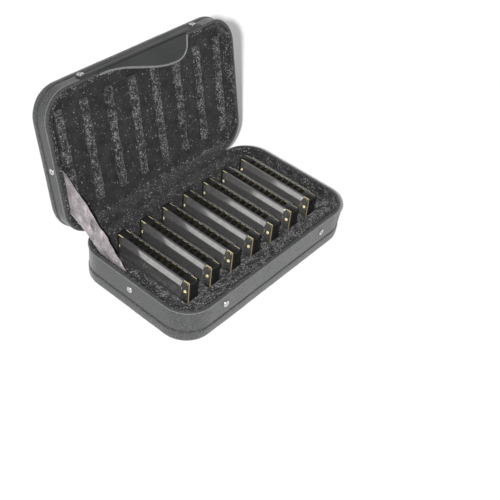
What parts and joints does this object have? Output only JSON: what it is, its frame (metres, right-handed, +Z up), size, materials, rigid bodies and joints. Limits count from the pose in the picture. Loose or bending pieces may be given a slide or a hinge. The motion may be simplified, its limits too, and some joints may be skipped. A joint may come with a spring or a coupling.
{
  "type": "harmonica case",
  "caption": "Soft-covered hinged case standing open on its base, with harmonicas upright in the slots of its plush-lined tray.",
  "frame": {"origin": "centre of the base's footprint, on its underside", "axes": "+Z up, +Y from the front wall to the hinge at the rear, +X to the right seen from the front"},
  "size_m": [0.2566, 0.2135, 0.1871],
  "materials": {
    "case_fabric": "matte",
    "rim_tape": "matte",
    "dark_cord": "matte",
    "stiffener_board": "matte",
    "foam": "matte",
    "plush": "matte",
    "satin": "satin",
    "leatherette": "satin",
    "welt": "satin",
    "rivet_metal": "polished",
    "comb_plastic": "gloss",
    "brass": "polished",
    "cover_metal": "polished",
    "screw_metal": "polished"
  },
  "bodies": {
    "base": {"base_board": "stiffener_board", "base_wall_cover": "case_fabric", "base_bottom_cover": "case_fabric", "base_seam_piping": "dark_cord", "base_rim_binding": "rim_tape", "base_rim_piping": "dark_cord", "base_foam_pad": "foam", "base_foam_divider": "foam", "base_plush_lining": "plush", "base_rivets": "rivet_metal", "base_rivet_washers": "rivet_metal", "rear_hinge_strip": "case_fabric", "hinge_plush_strip": "plush", "lid_stay": "satin"},
    "lid": {"lid_board": "stiffener_board", "lid_wall_cover": "case_fabric", "lid_top_cover": "case_fabric", "lid_seam_piping": "dark_cord", "lid_rim_binding": "rim_tape", "lid_rim_piping": "dark_cord", "lid_foam_pad": "foam", "lid_foam_ridges": "foam", "lid_plush_lining": "plush", "lid_rivets": "rivet_metal", "lid_rivet_washers": "rivet_metal", "flap_strap": "leatherette"},
    "flap": {"front_flap": "leatherette", "front_flap_welt": "welt"},
    "harmonica_1": {"harmonica_1_comb": "comb_plastic", "harmonica_1_reed_plates": "brass", "harmonica_1_cover_plates": "cover_metal", "harmonica_1_screws": "screw_metal"},
    "harmonica_2": {"harmonica_2_comb": "comb_plastic", "harmonica_2_reed_plates": "brass", "harmonica_2_cover_plates": "cover_metal", "harmonica_2_screws": "screw_metal"},
    "harmonica_3": {"harmonica_3_comb": "comb_plastic", "harmonica_3_reed_plates": "brass", "harmonica_3_cover_plates": "cover_metal", "harmonica_3_screws": "screw_metal"},
    "harmonica_4": {"harmonica_4_comb": "comb_plastic", "harmonica_4_reed_plates": "brass", "harmonica_4_cover_plates": "cover_metal", "harmonica_4_screws": "screw_metal"},
    "harmonica_5": {"harmonica_5_comb": "comb_plastic", "harmonica_5_reed_plates": "brass", "harmonica_5_cover_plates": "cover_metal", "harmonica_5_screws": "screw_metal"},
    "harmonica_6": {"harmonica_6_comb": "comb_plastic", "harmonica_6_reed_plates": "brass", "harmonica_6_cover_plates": "cover_metal", "harmonica_6_screws": "screw_metal"},
    "harmonica_7": {"harmonica_7_comb": "comb_plastic", "harmonica_7_reed_plates": "brass", "harmonica_7_cover_plates": "cover_metal", "harmonica_7_screws": "screw_metal"}
  },
  "joints": [
    {"name": "lid_hinge", "type": "hinge", "parent": "base", "child": "lid", "pos_m": [0, 0.0764, 0.0368], "axis": [-1, 0, 0], "range_deg": [-102, 0], "deforming": ["rear_hinge_strip", "hinge_plush_strip", "lid_stay"]},
    {"name": "flap_fold", "type": "hinge", "parent": "lid", "child": "flap", "pos_m": [0, 0.11271, 0.18693], "axis": [-1, 0, 0], "range_deg": [0, 100.1]},
    {"name": "harmonica_1_lift", "type": "slide", "parent": "base", "child": "harmonica_1", "axis": [0, 0, 1], "range_m": [0, 0.03]},
    {"name": "harmonica_2_lift", "type": "slide", "parent": "base", "child": "harmonica_2", "axis": [0, 0, 1], "range_m": [0, 0.03]},
    {"name": "harmonica_3_lift", "type": "slide", "parent": "base", "child": "harmonica_3", "axis": [0, 0, 1], "range_m": [0, 0.03]},
    {"name": "harmonica_4_lift", "type": "slide", "parent": "base", "child": "harmonica_4", "axis": [0, 0, 1], "range_m": [0, 0.03]},
    {"name": "harmonica_5_lift", "type": "slide", "parent": "base", "child": "harmonica_5", "axis": [0, 0, 1], "range_m": [0, 0.03]},
    {"name": "harmonica_6_lift", "type": "slide", "parent": "base", "child": "harmonica_6", "axis": [0, 0, 1], "range_m": [0, 0.03]},
    {"name": "harmonica_7_lift", "type": "slide", "parent": "base", "child": "harmonica_7", "axis": [0, 0, 1], "range_m": [0, 0.03]}
  ],
  "couplings": [
    {"joint": "flap_fold", "follows": "lid_hinge", "ratio": -0.98039}
  ]
}
